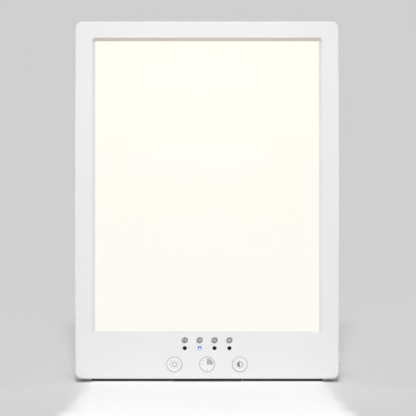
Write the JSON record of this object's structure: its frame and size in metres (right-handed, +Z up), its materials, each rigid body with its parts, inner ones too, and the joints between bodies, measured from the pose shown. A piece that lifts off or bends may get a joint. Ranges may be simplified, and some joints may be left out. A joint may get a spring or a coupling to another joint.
{
  "type": "light therapy lamp",
  "caption": "Slim upright light panel with a large lit screen, timer lamps, push keys under it and a folding rear leg; shines bright diffuse white light.",
  "frame": {"origin": "centre of the footprint box on the surface the lamp stands on", "axes": "+Z up, +X to the right of the screen as a viewer faces it, screen faces -Y and leans back 12 degrees"},
  "size_m": [0.2268, 0.0852, 0.3045],
  "materials": {
    "white_shell": "fine satin texture, white ABS",
    "key_white": "satin white ABS with grey printed icons",
    "opal_screen": "opal acrylic, lit warm white",
    "black_rubber": "matte black rubber",
    "foam": "white closed-cell foam tape",
    "film": "frosted diffusion film",
    "clear_acrylic": "clear cast acrylic with dot pattern",
    "reflector": "white reflector film",
    "tray_aluminium": "mill finish sheet",
    "strip_board": "white solder mask",
    "led_package": "phosphor-filled white package",
    "circuit_board": "green solder mask",
    "switch_black": "moulded black nylon",
    "switch_stem": "moulded acetal",
    "timer_lens": "smoked acrylic",
    "chip_black": "epoxy",
    "can_aluminium": "drawn can",
    "connector_white": "natural nylon",
    "wire_red": "PVC wire",
    "jack_black": "moulded black PBT",
    "nickel": "nickel plate",
    "steel_screw": "zinc-plated steel",
    "steel_pin": "drawn steel",
    "spring_steel": "spring steel strip",
    "nylon": "natural nylon"
  },
  "bodies": {
    "housing": {"front_bezel": "white_shell", "back_cover": "white_shell", "base_strip": "black_rubber", "diffuser_panel": "opal_screen", "diffuser_gasket": "foam", "diffusion_film": "film", "light_guide": "clear_acrylic", "reflector_sheet": "reflector", "backplate": "tray_aluminium", "led_strip_left": "strip_board", "led_strip_right": "strip_board", "strip_leds_left": "led_package", "strip_leds_right": "led_package", "control_board": "circuit_board", "tact_switches": "switch_black", "timer_light_pipes": "timer_lens", "light_pipe_holder": "switch_black", "timer_leds": "led_package", "side_switch": "switch_black", "controller_chip": "chip_black", "driver_chip": "chip_black", "power_inductor": "chip_black", "filter_capacitors": "can_aluminium", "led_connectors": "connector_white", "strip_wires_left": "wire_red", "strip_wires_right": "wire_red", "dc_jack_body": "jack_black", "dc_jack_pin": "nickel", "dc_jack_contact": "nickel", "case_screws": "steel_screw", "backplate_screws": "steel_screw", "board_screws": "steel_screw", "hinge_pin": "steel_pin", "hinge_washers": "nylon", "detent_spring": "spring_steel", "detent_screw": "steel_screw"},
    "kickstand": {"kickstand_leg": "white_shell", "kickstand_foot": "black_rubber"},
    "button_light": {"button_light": "key_white", "switch_stem_light": "switch_stem"},
    "button_timer": {"button_timer": "key_white", "switch_stem_timer": "switch_stem"},
    "button_brightness": {"button_brightness": "key_white", "switch_stem_brightness": "switch_stem"},
    "side_key": {"side_key": "key_white", "side_switch_stem": "switch_stem"}
  },
  "joints": [
    {"name": "kickstand_hinge", "type": "hinge", "parent": "housing", "child": "kickstand", "pos_m": [0, 0.01333, 0.18583], "axis": [1, 0, 0], "range_deg": [-21, 0]},
    {"name": "light_key_push", "type": "slide", "parent": "housing", "child": "button_light", "axis": [0, 0.9781, -0.2079], "range_m": [0, 0.0006], "stiffness_N_per_m": 500, "springref_m": -0.001},
    {"name": "timer_key_push", "type": "slide", "parent": "housing", "child": "button_timer", "axis": [0, 0.9781, -0.2079], "range_m": [0, 0.0006], "stiffness_N_per_m": 500, "springref_m": -0.001},
    {"name": "brightness_key_push", "type": "slide", "parent": "housing", "child": "button_brightness", "axis": [0, 0.9781, -0.2079], "range_m": [0, 0.0006], "stiffness_N_per_m": 500, "springref_m": -0.001},
    {"name": "side_key_push", "type": "slide", "parent": "housing", "child": "side_key", "axis": [-1, 0, 0], "range_m": [0, 0.0006], "stiffness_N_per_m": 500, "springref_m": -0.001}
  ]
}
